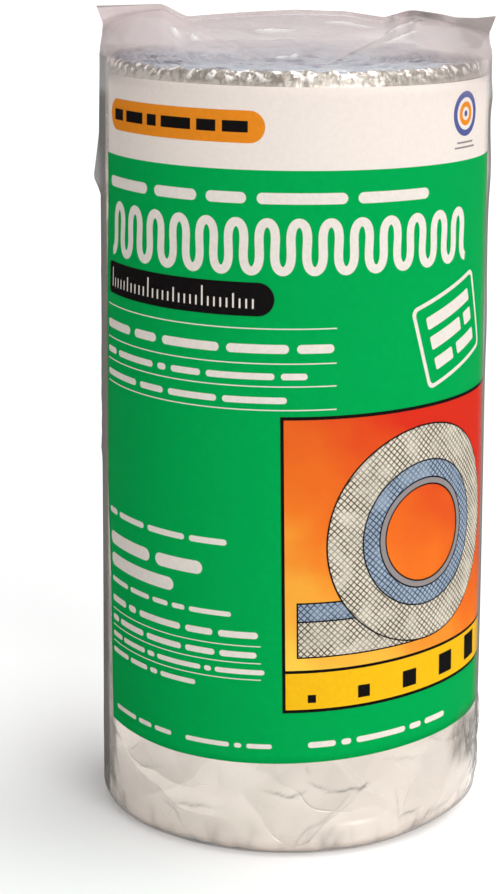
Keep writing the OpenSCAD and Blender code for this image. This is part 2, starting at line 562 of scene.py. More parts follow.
def foil_folds(angle, z):
    """The folds below the label, a little jagged: how deep they are, which also sets their painted shade."""
    total = np.zeros(angle.shape)
    for turn, height, length, slope, depth in FOIL_FOLDS:
        beside = wrapped(angle - turn) * ROLL_R
        jag = 0.25 * np.sin(0.8 * beside + 9 * turn) + 0.10 * np.sin(2.1 * beside + height)
        total += FOLD_TONE * depth * crease(beside, z - height + jag, length, FOLD_WIDTH, slope)
    return total


def foil_relief(angle, z):
    """How far the foil lies in from the roll's form, and how much painted shade lies in its folds, from 0 to
    1.
    """
    folds = foil_folds(angle, z)
    foot = side_creases(angle, z, ROLL_R, *FOOT_PLEATS)
    past_end = wrapped(angle - BLANKET_END) * ROLL_R
    dent = DENT * (1 + swell(angle, z, seed=11, waves=9, crests=7, wavelength=90.0))
    dent += FOLD_DENT * folds + foot
    dent += END_STEP * fading(past_end, END_REACH) * smoothstep(-END_EDGE, END_EDGE, past_end)
    for creases in FOIL_CREASES:
        dent += side_creases(angle, z, ROLL_R, *creases)
    lean = LEAN * smoothstep(HEAD_Z - LEAN_HEIGHT, HEAD_Z, z)
    lean += ROLL_IN * np.clip((z - HEAD_Z + ROLL_IN) / ROLL_IN, 0, 1) ** 2
    # Painted shade along the folds, along the blanket end's step and in the foot's pleats
    lines = folds + 0.5 * fading(past_end, reach=0.7)
    crease_shade = np.clip(2.2 * lines ** 2 + 0.35 * foot, 0, 1)
    return DEEPEST_DENT * np.tanh(dent / DEEPEST_DENT) + lean, crease_shade


def foil_columns():
    front = np.linspace(-FRONT_HALF, FRONT_HALF, FRONT_COLUMNS, endpoint=False)
    back = np.linspace(FRONT_HALF, TURN - FRONT_HALF, BACK_COLUMNS, endpoint=False)
    end = BLANKET_END + np.linspace(-END_HALF, END_HALF, END_COLUMNS) / ROLL_R
    return np.sort(np.concatenate([front, back, end]))


def foil_inside(outside, angle):
    """The inner face, from the rim down: close to the outer one, then plain."""
    inner = []
    for row, inset in INNER_ROWS:
        ring = outside[-row].copy()
        ring[:, :2] *= 1 - inset / ROLL_R
        inner.append(ring)
    for level, inset in INNER_RINGS:
        inner.append(around(angle, ROLL_R - inset + roll_form(angle, level), level))
    return np.array(inner)


def make_foil(material):
    """The facing on the outermost turn, creased, and curled in at its foot."""
    columns = foil_columns()
    curl = np.linspace(UPRIGHT, 0, CURL_ROWS, endpoint=False)
    side_z = stretches(FOIL_LEVELS, FOIL_ROWS)
    radius = np.concatenate([ROLL_R - FOOT_ROUND * (1 - np.cos(curl)), np.full(len(side_z), ROLL_R)])
    levels = np.concatenate([FOOT_Z + FOOT_ROUND * (1 - np.sin(curl)), side_z])
    angle, z = np.meshgrid(columns, levels)
    dent, crease_shade = foil_relief(angle, z)
    ragged = 0.5 * swell(angle, 0, seed=16, waves=14, crests=60, wavelength=1.0) - 0.4
    z = z + smoothstep(HEAD_Z - RAGGED_HEIGHT, HEAD_Z, z) * np.clip(ragged, *RAGGED_RANGE)
    outside = around(angle, radius[:, None] + roll_form(angle, z) - dent, z)
    inside = foil_inside(outside, columns)
    points = np.concatenate([outside, inside, outside[:1]])
    # The fold field carries the painted shade in the creases
    fields = {"fold": np.concatenate([crease_shade, np.zeros(inside.shape[:2]), crease_shade[:1]])}
    piece = mesh_object("foil", points, grid_faces(*points.shape[:2], True), [material], fields=fields)
    weld(piece, metres=1e-6)
    return piece


# Label: places on it are measured from its left edge and up from its lower edge

LABEL_COLUMNS = 113
LABEL_ROWS = 66
PAPER = 0.15
COCKLE = 0.06
# Low down, the soft roll skews the sheet and slides it to the right; its left edge bows out
LEVEL_DEPTH = 0.1
RIGHT_RISE = 5.2
LEFT_DROP = 1.4
SLIDE = 4.5
SLIDE_DEPTH = 0.4
BOW = 5.0
# Each layer of ink stands this far off the one below
INK_LIFT = 0.05
INK_SHINE = 0.38
PEN = 0.6
HATCH_STEP = 2.6
INKS = {
    "white": (0.84, 0.78, 0.72), "green": (0.0009, 0.385, 0.080), "black": (0.008, 0.007, 0.007),
    "orange": (0.84, 0.27, 0.018), "yellow": (0.93, 0.52, 0.012), "blue": (0.10, 0.12, 0.33),
    "grey": (0.30, 0.27, 0.27)}
SHINES = {"black": 0.30}

# Lower edge of the white head, and the middle of its rings
HEAD_BAND = 229.6
TARGET = (172.0, 247.5)
# Panel with a strip at its foot and the section of a wrapped pipe over it
PANEL_LEFT = 91.5
PANEL_RIGHT = 211.0
PANEL_LOW = 21.8
PANEL_HIGH = 136.0
BORDER = 1.3
STRIP_HIGH = 37.0
PIPE_X = 151.0
PIPE_Y = 86.0
COAT_R = 43.0
LINING_R = 29.0
WALL_R = 22.0
HOLLOW_R = 19.0
TAIL_LEFT = PANEL_LEFT + 5.0
# Bars: left, right, low, high, ink, layer, and the radii of rounded ends
BARS = (
    (5.5, 84.0, 239.3, 251.2, "orange", 1, (5.9, 5.9)),
    (166.0, 178.0, 236.2, 236.9, "grey", 1),
    (164.5, 179.5, 234.3, 235.0, "grey", 1),
    (4.6, 88.0, 175.3, 188.0, "black", 1, (2.0, 6.3)),
    (PANEL_LEFT - BORDER, PANEL_RIGHT + BORDER, PANEL_LOW - BORDER, PANEL_HIGH + BORDER, "black", 1),
    (PANEL_LEFT, PANEL_RIGHT, STRIP_HIGH + PEN, PANEL_HIGH, "panel_ink", 2),
    (PANEL_LEFT, PANEL_RIGHT, PANEL_LOW, STRIP_HIGH - PEN, "yellow", 2),
    (TAIL_LEFT - PEN, PIPE_X, PIPE_Y - COAT_R - PEN, PIPE_Y - WALL_R + PEN, "black", 3),
    (TAIL_LEFT, PIPE_X, PIPE_Y - COAT_R, PIPE_Y - LINING_R - PEN / 2, "cream_hatch", 4),
    (TAIL_LEFT, PIPE_X, PIPE_Y - LINING_R + PEN / 2, PIPE_Y - WALL_R, "blue_hatch", 4))
# Rings: middle, inner radius, outer radius, ink and layer
RINGS = (
    (TARGET, 6.2, 8.6, "blue", 1), (TARGET, 2.6, 4.6, "orange", 1), (TARGET, 0.02, 1.2, "blue", 1),
    ((PIPE_X, PIPE_Y), HOLLOW_R, COAT_R + PEN, "black", 5),
    ((PIPE_X, PIPE_Y), LINING_R + PEN / 2, COAT_R, "cream_hatch", 6),
    ((PIPE_X, PIPE_Y), WALL_R + PEN / 2, LINING_R - PEN / 2, "blue_hatch", 6),
    ((PIPE_X, PIPE_Y), HOLLOW_R + PEN, WALL_R - PEN / 2, "grey", 6))
# Rows of dashes: left, low, lengths, thickness and gap. The black ones are on the head's bar.
HEAD_BLOCKS = (9.5, 243.2, (7, 11, 5, 14, 8, 10), 4.2, 2.6)
DASH_ROWS = (
    (5.0, 217.2, (28, 20, 16, 34, 31), 4.2, 4.0), (3.6, 161.4, (20, 12, 25, 24, 14), 3.4, 3.0),
    (3.6, 151.4, (9, 22, 4, 13, 27, 10), 2.5, 2.4), (3.6, 142.3, (24, 12, 21, 25), 2.5, 2.4),
    (3.4, 86.4, (8, 17, 18, 16), 2.4, 2.2), (3.4, 73.8, (30, 22), 5.2, 3.2), (3.4, 65.0, (42,), 5.2, 3.2),
    (3.4, 58.4, (15, 12, 8, 6, 18), 2.0, 2.0), (3.4, 50.2, (13, 5, 22, 12, 16), 2.6, 2.4),
    (3.4, 42.4, (6, 17, 18, 13, 15), 2.4, 2.0), (3.4, 35.8, (9, 15, 4, 21, 3, 20), 2.0, 1.6),
    (3.4, 29.2, (14, 11, 4, 17), 2.0, 1.8), (6.0, 6.0, (16, 8, 9), 1.9, 2.0),
    (50.0, 6.0, (19, 3, 10), 1.9, 2.0), (100.0, 6.0, (11, 4, 22, 6, 12), 2.4, 2.2))
# Rules between them: left, right, thickness and lower edges
RULES = ((3.6, 111.5, 0.45, (170.5, 157.3, 148.6, 139.6)), (3.4, 82.0, 0.4, (47.0, 40.2, 33.6)))
# Heights of the scale's ticks, by how often they come
TICK_HEIGHTS = {10: 7.5, 5: 5.5, 1: 3.6}
# Tilted stamp, from its middle: left, right, low, high, corner radius, ink and layer of each block
STAMP_BLOCKS = (
    (-20, 20, -17, 17, 3.0, "white", 1), (-18.4, 18.4, -15.4, 15.4, 2.0, "green", 2),
    (-14, 14, 6.0, 11.0, 0.8, "white", 3), (-14, 5, -2.5, 3.0, 0.8, "white", 3),
    (8, 14, -2.5, 3.0, 0.8, "white", 3), (-14, -3, -11.0, -6.0, 0.8, "white", 3),
    (0, 14, -11.0, -6.0, 0.8, "white", 3))


def ink_material(name, colour, shine):
    """Printed ink with a faint mottle in its colour and gloss."""
    tree = Tree(name)
    deeper = tuple(0.9 * channel for channel in colour)
    return tree.finish(tree.principled(
        base_color=tree.mix(tree.mottle(1.6, 3, 0.6), deeper, colour),
        roughness=tree.mottle(14, to=(shine - 0.05, shine + 0.07)),
        normal=tree.bump(tree.noise(0.5), 0.012), specular_ior_level=0.0))


def label_material():
    """Coated paper with a white head over a green field."""
    deep_white, white = (0.82, 0.74, 0.685), (0.86, 0.78, 0.725)
    deep_green, green = (0.0006, 0.345, 0.072), (0.0010, 0.385, 0.080)
    tree = Tree("label_paper")
    mottle = tree.mottle(1.8, 3, 0.6)
    head = tree.math("GREATER_THAN", tree.on_sheet()[1], HEAD_BAND / LABEL_H)
    tone = tree.mix(head, tree.mix(mottle, deep_green, green), tree.mix(mottle, deep_white, white))
    return tree.finish(tree.principled(
        base_color=tone, roughness=tree.mottle(16, to=(0.34, 0.46)),
        normal=tree.bump(tree.noise(0.5), 0.012), specular_ior_level=0.0))


def panel_material():
    """Warm gradient, deep red at its upper right and yellow at its lower left."""
    stops = ((0.10, (0.95, 0.60, 0.07)), (0.45, (0.86, 0.19, 0.020)), (0.85, (0.66, 0.030, 0.014)))
    tree = Tree("panel_ink")
    across, up = tree.on_sheet()
    across = tree.ramp(across, (PANEL_LEFT / LABEL_W, PANEL_RIGHT / LABEL_W))
    up = tree.ramp(up, (PANEL_LOW / LABEL_H, PANEL_HIGH / LABEL_H))
    warmth = tree.add(tree.times(across, 0.45), tree.times(up, 0.65))
    warmth = tree.add(warmth, tree.ramp(tree.noise(18, 3), (0.0, 1.0), to=(-0.12, 0.12)))
    gradient = tree.node("ShaderNodeValToRGB", {"Fac": warmth})
    elements = gradient.color_ramp.elements
    elements.new(stops[1][0])
    for element, (position, colour) in zip(elements, stops):
        element.position = position
        element.color = opaque(colour)
    return tree.finish(tree.principled(
        base_color=gradient.outputs[0], roughness=0.4, specular_ior_level=0.0))


def hatched_material(name, paper, line):
    """Pale ink with a crossed pen hatch, worn in places."""
    tree = Tree(name)
    across, up = tree.on_sheet()
    across = tree.times(across, LABEL_W)
    up = tree.times(up, LABEL_H)
    wobble = tree.ramp(tree.noise(6), (0.0, 1.0), to=(-0.5, 0.5))
    hatch = 0.0
    for way in (1.0, -1.0):
        phase = tree.add(tree.add(across, tree.times(up, way)), wobble)
        from_line = tree.math("PINGPONG", phase, HATCH_STEP / 2)
        line_edge = (0.10 * HATCH_STEP, 0.16 * HATCH_STEP)
        hatch = tree.larger(hatch, tree.ramp(from_line, line_edge, to=(1.0, 0.0)))
    worn = tree.times(hatch, tree.ramp(tree.noise(9), (0.3, 0.55), to=(0.35, 1.0)))
    deeper = tuple(0.82 * channel for channel in paper)
    tone = tree.mix(tree.mottle(12, 3), deeper, paper)
    return tree.finish(tree.principled(
        base_color=tree.mix(worn, tone, line), roughness=0.4, specular_ior_level=0.0))


def draped(across, up):
    """Where places on the flat sheet come to lie on the soft roll."""
    depth = 1 - up / LABEL_H
    rise = RIGHT_RISE * smoothstep(60, 200, across) - LEFT_DROP * smoothstep(0, 50, across)
    slide = SLIDE * np.clip(depth - SLIDE_DEPTH, 0, 1)
    bow = BOW * bell(depth - 0.52, reach=0.27) * (1 - smoothstep(0, 60, across))
    return across + slide - bow, up + rise * (depth - LEVEL_DEPTH) / (1 - LEVEL_DEPTH)


def on_label(across, up, lift=0.0):
    """Points of the label's sheet, wrapped round the roll with a faint cockle."""
    across, up = draped(np.asarray(across), np.asarray(up))
    angle = LABEL_LEFT + across / LABEL_R
    z = LABEL_Z + up
    cockle = COCKLE * swell(angle, z, seed=31, waves=5, crests=9, wavelength=70.0)
    return around(angle, LABEL_R + roll_form(angle, z) + cockle + lift, z)


class Print:
    """Flat printed shapes on the label, gathered into one mesh."""

    STEP = 2.5
    CORNER_POINTS = 6
    ARC_STEP = 1.2
    ARC_POINTS = 12

    def __init__(self, inks):
        self.inks = inks
        self.points, self.places, self.faces, self.slots = [], [], [], []

    def steps(self, length):
        return math.ceil(length / self.STEP) + 1

    def strip(self, places, ink, layer):
        """A grid of places, rows by columns by 2, filled with an ink."""
        start = sum(len(block) for block in self.points)
        faces = grid_faces(*places.shape[:2], False) + start
        flat = places.reshape(-1, 2)
        self.points.append(on_label(flat[:, 0], flat[:, 1], layer * INK_LIFT))
        self.places.append(flat / (LABEL_W, LABEL_H))
        self.faces.append(faces)
        self.slots.append(np.full(len(faces), list(self.inks).index(ink)))

    def bar(self, left, right, low, high, ink, layer=1, rounds=(0.0, 0.0), tilt=0.0, pivot=(0.0, 0.0)):
        """A bar with its ends rounded by these radii, tilted about a pivot."""
        flat = np.linspace(left + rounds[0], right - rounds[1], self.steps(right - left))
        corner = 1 - np.cos(np.linspace(0, UPRIGHT, self.CORNER_POINTS, endpoint=False))
        across = np.unique(np.concatenate([left + rounds[0] * corner, flat, right - rounds[1] * corner]))
        inset = np.zeros_like(across)
        for past, radius in zip((flat[0] - across, across - flat[-1]), rounds):
            inset += radius - np.sqrt(radius ** 2 - np.clip(past, 0, radius) ** 2)
        share = np.linspace(0, 1, self.steps((high - low) / 3))[:, None]
        up = (low + inset) * (1 - share) + (high - inset) * share
        places = np.stack([np.broadcast_to(across, up.shape), up], axis=-1) - pivot
        turn = np.array([[math.cos(tilt), math.sin(tilt)], [-math.sin(tilt), math.cos(tilt)]])
        self.strip(places @ turn + pivot, ink, layer)

    def ring(self, centre, inner, outer, ink, layer):
        angle = np.linspace(0, TURN, max(self.ARC_POINTS, int(TURN * outer / self.ARC_STEP)))
        radius = np.linspace(outer, inner, self.steps(outer - inner))[:, None]
        places = [centre[0] + radius * np.cos(angle), centre[1] + radius * np.sin(angle)]
        self.strip(np.stack(places, axis=-1), ink, layer)

    def ribbon(self, path, width, ink):
        along = np.gradient(path, axis=0)
        along /= np.linalg.norm(along, axis=1)[:, None]
        side = np.stack([-along[:, 1], along[:, 0]], axis=-1) * width / 2
        self.strip(np.stack([path - side, path + side]), ink, 1)

    def dashes(self, left, low, lengths, thickness, gap, ink="white", layer=1, rounded=True):
        end = thickness / 2 if rounded else 0.0
        for length in lengths:
            self.bar(left, left + length, low, low + thickness, ink, layer, (end, end))
            left += length + gap

    def piece(self, name):
        blocks = (self.points, self.faces, self.slots, self.places)
        points, faces, slots, places = (np.concatenate(block) for block in blocks)
        return mesh_object(name, points, faces, list(self.inks.values()), slots, places)


def make_inks():
    inks = {}
    for name, colour in INKS.items():
        inks[name] = ink_material(name + "_ink", colour, SHINES.get(name, INK_SHINE))
    inks["panel_ink"] = panel_material()
    inks["cream_hatch"] = hatched_material("cream_hatch", (0.78, 0.72, 0.60), (0.10, 0.08, 0.06))
    inks["blue_hatch"] = hatched_material("blue_hatch", (0.36, 0.45, 0.56), (0.05, 0.07, 0.12))
    return inks


def batt_wave(left, right, low, high, period, lean=1.25, points=40):
    """The looped line that stands for soft insulation in a drawing."""
    count = round((right - left) / period)
    step = (right - left) / count
    phase = np.linspace(0, count * TURN, count * points + 1)
    across = left + step * phase / TURN + lean * step / (2 * TURN) * np.sin(2 * phase)
    up = (low + high) / 2 - (high - low) / 2 * np.cos(phase)
    return np.stack([across, up], axis=-1)


def print_scale(sheet, left, low, step, ticks, half_width):
    for tick in range(ticks):
        height = next(height for every, height in TICK_HEIGHTS.items() if tick % every == 0)
        middle = left + step * tick
        sheet.bar(middle - half_width, middle + half_width, low, low + height, "white", 2)


def print_squares(sheet, left, low, step, count, size, growth):
    for square in range(count):
        start = left + step * square
        side = size + growth * square
        sheet.bar(start, start + side, low, low + side, "black", 3)


def print_stamp(sheet, x, y, tilt):
    for left, right, low, high, corner, ink, layer in STAMP_BLOCKS:
        sheet.bar(x + left, x + right, y + low, y + high, ink, layer, (corner, corner), tilt, (x, y))


def make_print():
    """The label's printed shapes."""
    sheet = Print(make_inks())
    for bar in BARS:
        sheet.bar(*bar)
    for ring in RINGS:
        sheet.ring(*ring)
    sheet.dashes(*HEAD_BLOCKS, ink="black", layer=2, rounded=False)
    for row in DASH_ROWS:
        sheet.dashes(*row)
    for left, right, thickness, lows in RULES:
        for low in lows:
            sheet.bar(left, right, low, low + thickness, "white")
    wave = batt_wave(left=8.0, right=174.0, low=192.3, high=210.4, period=11.85)
    sheet.ribbon(wave, width=3.4, ink="white")
    print_scale(sheet, left=8.5, low=178.2, step=2.55, ticks=29, half_width=0.35)
    print_squares(sheet, left=100.0, low=24.4, step=20, count=5, size=3.2, growth=1.8)
    print_stamp(sheet, x=166.5, y=164.5, tilt=math.radians(17))
    return sheet.piece("label_print")


def make_label(paper, edge):
    """The label's sheet, which gets its thickness inwards."""
    across, up = np.meshgrid(np.linspace(0, LABEL_W, LABEL_COLUMNS), np.linspace(0, LABEL_H, LABEL_ROWS))
    uv = np.stack([across / LABEL_W, up / LABEL_H], axis=-1)
    faces = grid_faces(LABEL_ROWS, LABEL_COLUMNS, False)
    piece = mesh_object("label", on_label(across, up), faces, [paper, edge], uv=uv)
    solid = piece.modifiers.new("thickness", "SOLIDIFY")
    solid.thickness = PAPER * MM
    solid.offset = -1
    solid.material_offset_rim = 1
    return piece


# Film

FILM_R = BAG_R - 0.15
FILM_COLUMNS = 400
BASE_ROWS = 17
CURVE_ROWS = 8
SIDE_LEVELS = (BAG_ROUND, 52, 246, SHOULDER_Z - 0.8)
SIDE_ROWS = (50, 92, 29)
ROOF_ROWS = 39
SEAM_ROWS = 6
BASE_PLEATS = 9
PLEAT_HEIGHT = 0.35
PUCKERS = (57, 60, (0, 8), (4, 12), (0.8, 1.8), (-0.7, 0.4), UPRIGHT, 0.4)
# Wrinkles of the side: all round, low on the right, on the left and at the back
SIDE_WRINKLES = (
    (52, 70, (8, HEAD_Z), (10, 45), (0.8, 2.0), (-0.25, 0.35), 0.2, 0.5),
    (53, 30, (8, 50), (4, 14), (0.6, 1.4), (-0.4, 0.9), 0.9, 0.8, (0.95, 1.65)),
    (54, 30, (40, 290), (12, 60), (0.8, 1.8), (-0.3, 0.5), 1.4, 0.25, (-2.3, -1.48)),
    (56, 60, (10, 300), (14, 60), (1.2, 2.4), (-0.3, 0.8), 1.2, 0.4, (1.9, 4.3)))
SIDE_WAVE = 0.10
SIDE_RANGE = (-0.45, 3.2)
# Fold that stands out on the left: heights, and how far it stands out there
LEFT_FLAP = ((250.5, 0.0), (257.0, 2.9), (266.0, 1.6), (274.0, 0.5), (300.0, 0.0))
LEFT_FLAP_AT = -1.50
# Soft bumps on the right: height, reach up and down, and size
RIGHT_BUMPS = ((290, 5, 0.6), (262, 12, 0.7), (200, 14, 0.3))
RIGHT_BUMPS_AT = 1.50
# Crumple low on the right, with grey painted shade in its wrinkles
CRUMPLE_AT = 1.22
CRUMPLE_REACH = 0.16
CRUMPLE_Z = 34
CRUMPLE_HALF = 10
CRUMPLE_RANGE = (-0.4, 1.2)
CRUMPLES = (55, 60, (14, 46), (3, 11), (0.6, 1.3), (-0.5, 0.9), 0.9, 0.9, (1.0, 1.5))
# A band of grey painted shade down the film's left side: angles, and how softly it starts and ends
SHADE_BAND_FROM = -1.80
SHADE_BAND_TO = -1.24
SHADE_BAND_START = 0.5
SHADE_BAND_END = 0.04
# Upper edge of the seam, from left to right: shares of half its length and of its height
SEAM_EDGE = (
    (-1, 0.96), (-0.67, 1), (-0.55, 0.735), (-0.28, 0.825), (0, 0.89), (0.25, 0.86),
    (0.45, 0.735), (0.5, 0.83), (0.59, 0.905), (0.72, 0.83), (0.8, 0.76), (0.91, 0.755), (1, 0.8))
SEAM_POINTS = 401
SEAM_SOFT = 6
# Height of the seam, what each ear adds, and how far each film lies from its middle
FIN = 1.6
EAR = 5.0
SEAM_LAYER = 0.12
# Kink in the seam, as a share of half its length
KINK_AT = 0.53
KINK = 2.6
# Sharp folds over the head's front: place across, way in, half length, width, slope and height
ROOF_FOLDS = (
    (-46.0, 43.0, 10.0, 1.6, 1.69, 1.6), (-38.5, 39.0, 8.0, 1.5, 1.75, 1.3),
    (-8.0, 54.0, 9.0, 2.0, 0.10, 1.5), (-5.0, 17.0, 3.0, 1.5, 0.3, 1.1),
    (-0.5, 18.0, 4.0, 1.2, 1.57, 1.0), (22.0, 66.0, 12.0, 1.8, -0.1, 1.4),
    (40.0, 60.0, 10.0, 1.8, 0.5, 1.6), (40.0, 42.0, 9.0, 1.8, 0.5, 1.0),
    (47.0, 68.0, 5.0, 1.5, -0.7, 1.4))
GLINT_WIDTH = 0.7
GLINT = 1.3
# Long folds drawn to the seam: place at the seam and near the shoulder, and the raised side
DRAWN_FOLDS = ((-42.0, -12.0, -1), (43.0, 14.0, 1))
DRAWN_IN = 0.2 * FILM_R
DRAWN_SLOPE = 0.11
DRAWN_REACH = 26
# Random creases over the head, and more near the right ear
ROOF_CREASES = (26, (5, 74), (8, 30), (0.8, 2.0), (-0.5, 0.8), UPRIGHT, 0.7, (-70, 70))
EAR_CREASES = (14, (52, 76), (4, 14), (0.7, 1.5), (-0.6, 1.3), 0, 0, (36, 62))


def film_grey(tree, facing):
    """How grey the film is: grey painted shade at the outline of its side, where it is seen edge-on, and
    where the grey_shade field puts it.
    """
    side = tree.climb(SHOULDER_Z - 3, SHOULDER_Z + 3, to=(1.0, 0.0))
    # Grey painted shade at the outline, lighter near the foot
    outline = tree.ramp(facing, (0.75, 0.88), to=(0.0, 0.8))
    outline = tree.times(outline, tree.climb(5, 28, to=(0.45, 1.0)))
    aslant = tree.ramp(facing, (0.3, 0.75), to=(0.12, 1.0))
    aslant = tree.larger(aslant, tree.math("SUBTRACT", 1.0, side))
    return tree.larger(tree.times(outline, side), tree.times(tree.field("grey_shade"), aslant))


def film_material():
    """Clear film: unseen where tight, milky and glossy where slack, and darkened in places with grey painted
    shade.
    """
    clear, milky, grey, white = (0.985, 0.98, 0.975), (0.69, 0.59, 0.58), (0.19, 0.18, 0.165), (1, 1, 1)
    tree = Tree("film")
    haze = tree.field("haze")
    facing = tree.node("ShaderNodeLayerWeight", {"Blend": 0.5}).outputs["Facing"]
    ripple = tree.noise(12, 3, 0.55, stretch=(1, 1, 2.2))
    normal = tree.bump(tree.add(ripple, tree.times(tree.noise(3), 0.15)), 0.35)
    lit = tree.surface("Diffuse", milky, Normal=normal)
    milk = tree.blend(0.36, lit, tree.surface("Translucent", milky, Normal=normal))
    cloud = tree.ramp(tree.noise(14, 4, 0.6, stretch=(1, 1, 2)), (0.3, 0.75), to=(0.75, 1.25))
    density = tree.times(cloud, tree.ramp(facing, (0.2, 0.75), to=(0.4, 1.0)))
    cover = tree.math("MULTIPLY", haze, density, clamp=True)
    body = tree.blend(cover, tree.surface("Transparent", clear), milk)
    # Grey painted shade at the outline and where the grey_shade field puts it
    body = tree.blend(film_grey(tree, facing), body, tree.surface("Diffuse", grey))
    fresnel = tree.node("ShaderNodeFresnel", {"IOR": 1.15, "Normal": normal}).outputs[0]
    mirror = tree.math("MINIMUM", fresnel, 0.14)
    mirror = tree.times(mirror, tree.ramp(haze, (0.01, 0.12), to=(0.05, 1.0)))
    mirror = tree.larger(mirror, tree.times(tree.field("glint"), 0.9))
    gloss = tree.surface("Glossy", white, Roughness=0.12, Normal=normal)
    return tree.finish(tree.blend(mirror, body, gloss))


def half(angle):
    """1 on the front half of the bag, -1 on the back half, and 0 where they meet."""
    return np.sign(np.round(np.cos(angle), 6))


def doubled(share):
    """Grey of the film that lies double beside the seam's kink: denser film, with painted shade."""
    return 0.55 * bell(share - 0.66, reach=0.1)


def ear_shade(share):
    """Grey painted shade on the film drawn to the right ear."""
    return 0.36 * smoothstep(0.66, 0.88, share)


def film_base(angle):
    """The base, in soft pleats. Each part of the film gives its points, haze, grey and glint."""
    way = np.linspace(0, 1, BASE_ROWS, endpoint=False)[:, None]
    pleat = np.abs(np.sin(BASE_PLEATS * angle + 3 * way)) * way * (1 - way) * 4
    radius = way * (FILM_R - BAG_ROUND + roll_form(angle, 0.0))
    return around(angle, radius, PLEAT_HEIGHT * pleat), 0.12, 0.0, 0.0


def film_curve(angle):
    """The rounded edge of the base, with its puckers."""
    curl = np.linspace(-UPRIGHT, 0, CURVE_ROWS, endpoint=False)[:, None]
    z = BAG_ROUND * (1 + np.sin(curl))
    radius = FILM_R - BAG_ROUND * (1 - np.cos(curl)) + roll_form(angle, z)
    radius = radius + side_creases(angle, z, FILM_R, *PUCKERS) * np.cos(curl)
    return around(angle, radius, z), 0.10, 0.0, 0.0


def side_relief(angle, z):
    """How far the film on the side stands off its tight form."""
    relief = SIDE_WAVE * swell(angle, z, seed=51, waves=9, crests=12, wavelength=120.0)
    for wrinkles in SIDE_WRINKLES:
        relief += side_creases(angle, z, FILM_R, *wrinkles)
    flap = fading(wrapped(angle - LEFT_FLAP_AT) * FILM_R, reach=7)
    relief += flap * np.interp(z, *zip(*LEFT_FLAP))
    bump = bell(wrapped(angle - RIGHT_BUMPS_AT) * FILM_R, reach=9)
    for height, reach, size in RIGHT_BUMPS:
        relief += size * bump * bell(z - height, reach)
    return np.clip(relief, *SIDE_RANGE)


# Grey painted shade down the film's left side
def left_band_shade(angle, z):
    turn = wrapped(angle)
    start = smoothstep(SHADE_BAND_FROM - SHADE_BAND_START, SHADE_BAND_FROM, turn)
    end = 1 - smoothstep(SHADE_BAND_TO - SHADE_BAND_END, SHADE_BAND_TO, turn)
    return start * end * (0.84 + 0.06 * swell(angle, z, seed=58, waves=6, crests=14, wavelength=60.0))


def film_side(angle):
    """The side, tight on the roll, slack at its shoulders and crumpled low on the right, with grey painted
    shade in the crumple and down the left.
    """
    z = stretches(SIDE_LEVELS, SIDE_ROWS)[:, None]
    share = np.sin(angle)
    relief = side_relief(angle, z)
    slack = smoothstep(288, HEAD_Z, z) * (0.10 + np.where(share > 0, 0.75, 0.45) * np.abs(share) ** 6)
    loose = smoothstep(0.1, 0.6, -np.cos(angle))
    haze = 0.004 + 0.03 * loose + 0.12 * np.clip(np.abs(relief) - 0.25, 0, 3) + slack
    off = (wrapped(angle - CRUMPLE_AT) / CRUMPLE_REACH) ** 4 + ((z - CRUMPLE_Z) / CRUMPLE_HALF) ** 4
    crumple = np.exp(-off)
    wrinkles = side_creases(angle, z, FILM_R, *CRUMPLES)
    relief = relief + np.clip(crumple * wrinkles, *CRUMPLE_RANGE)
    # Grey painted shade in the crumple's wrinkles
    grey = crumple * np.clip(0.74 + 0.9 * np.abs(wrinkles), 0, 0.95)
    radius = FILM_R + roll_form(angle, z) + relief
    return around(angle, radius, z), haze, np.maximum(grey, left_band_shade(angle, z)), 0.0


def seam_height(share):
    """Height of the seam's upper edge, with its corners a little softened."""
    fine = np.linspace(-1, 1, SEAM_POINTS)
    edge = np.pad(np.interp(fine, *zip(*SEAM_EDGE)), SEAM_SOFT, mode="edge")
    window = np.hanning(2 * SEAM_SOFT + 3)[1:-1]
    soft = np.convolve(edge, window / window.sum(), mode="valid")
    return SHOULDER_Z + (SEAM_Z - SHOULDER_Z) * np.interp(share, fine, soft)


def seam_lines(angle):
    """Lower and upper line of the seam, which sways and kinks."""
    share = np.sin(angle)
    spread = np.abs(share)
    top = seam_height(share)
    bow = 1.6 * np.sin(2.2 * share + 0.4) - 2.2 * share ** 4
    bow = bow + KINK * np.sin(55 * (share - KINK_AT)) * bell(share - KINK_AT, reach=0.06)
    layer = -SEAM_LAYER * half(angle)
    fin = FIN + EAR * spread ** 8
    ridge = np.stack([SEAM_HALF * share * (1 - 0.03 * spread ** 3), bow + layer, top - fin], axis=-1)
    crest = np.stack([SEAM_HALF * share, bow - 1.2 * share ** 2 + layer, top], axis=-1)
    return ridge, crest


def roof_relief(x, way, front):
    """Folds in the film over the roll's head. The way goes from 0 at the shoulder to 1 at the seam."""
    way_in = way * FILM_R
    seed = 61 if front else 62
    rng = np.random.default_rng(seed)
    relief = np.zeros(x.shape)
    for seam_x, shoulder_x, side in DRAWN_FOLDS:
        run = np.array([seam_x - shoulder_x, FILM_R - DRAWN_IN])
        run /= np.linalg.norm(run)
        off = side * ((x - shoulder_x) * run[1] - (way_in - DRAWN_IN) * run[0])
        relief += DRAWN_SLOPE * np.clip(off, 0, DRAWN_REACH) - fading(off, reach=1.6)
    for place, fold_in, length, width, slope, height in ROOF_FOLDS if front else ():
        relief += height * crease(x - place, way_in - fold_in, length, width, slope)
    for creases in (ROOF_CREASES, EAR_CREASES) if front else (ROOF_CREASES,):
        relief += draw_creases(rng, lambda place: x - place, way_in, *creases)
    return relief * smoothstep(0, 0.22, way) * (1 - smoothstep(0.72, 1, way))


